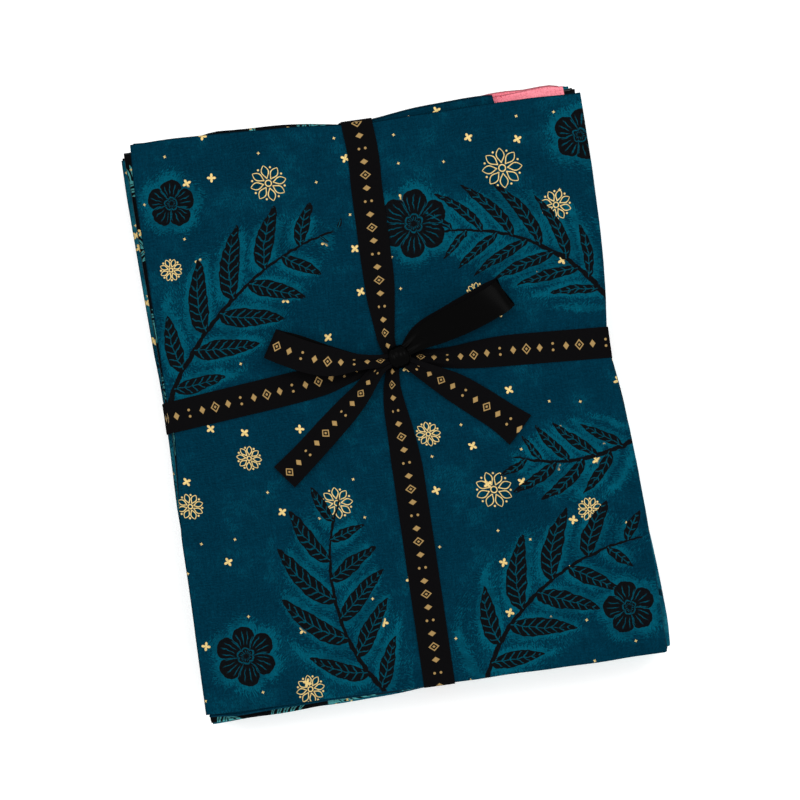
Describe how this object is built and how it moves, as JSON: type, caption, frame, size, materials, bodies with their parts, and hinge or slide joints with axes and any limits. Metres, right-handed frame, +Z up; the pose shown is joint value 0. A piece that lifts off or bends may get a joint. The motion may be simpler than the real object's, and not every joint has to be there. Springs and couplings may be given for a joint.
{
  "type": "fat quarter bundle",
  "caption": "Fat quarter bundle: fat quarters of printed cotton folded in half both ways, piled up and tied crosswise with a flat black ribbon that ends in a bow.",
  "frame": {"origin": "middle of the underside, on the surface that the bundle lies on", "axes": "+Z up, away from that surface; +Y along the longer side, from the folded short side to the raw-edged one; +X towards the folded long side"},
  "size_m": [0.238, 0.2924, 0.0482],
  "materials": {
    "cloth_light_aqua": "printed quilting cotton, light aqua with small dark sprigs",
    "cloth_black_teal": "printed quilting cotton, black with teal leaves and gold dots",
    "cloth_deep_teal": "printed quilting cotton, deep teal with small gold dots",
    "cloth_pink": "printed quilting cotton, coral pink with small red marks",
    "cloth_mottled_teal": "printed quilting cotton, mottled teal with gold dots",
    "cloth_black_aqua": "printed quilting cotton, black with light aqua leaves",
    "cloth_teal_black_gold": "printed quilting cotton, mottled dark teal with black sprays and small gold flowers",
    "ribbon_black": "matte woven black ribbon with small printed gold marks"
  },
  "bodies": {
    "root": {"fat_quarter_01": "cloth_light_aqua", "fat_quarter_02": "cloth_black_teal", "fat_quarter_03": "cloth_deep_teal", "fat_quarter_04": "cloth_mottled_teal", "fat_quarter_05": "cloth_black_aqua", "fat_quarter_06": "cloth_pink", "fat_quarter_07": "cloth_teal_black_gold", "ribbon": "ribbon_black"}
  },
  "joints": []
}
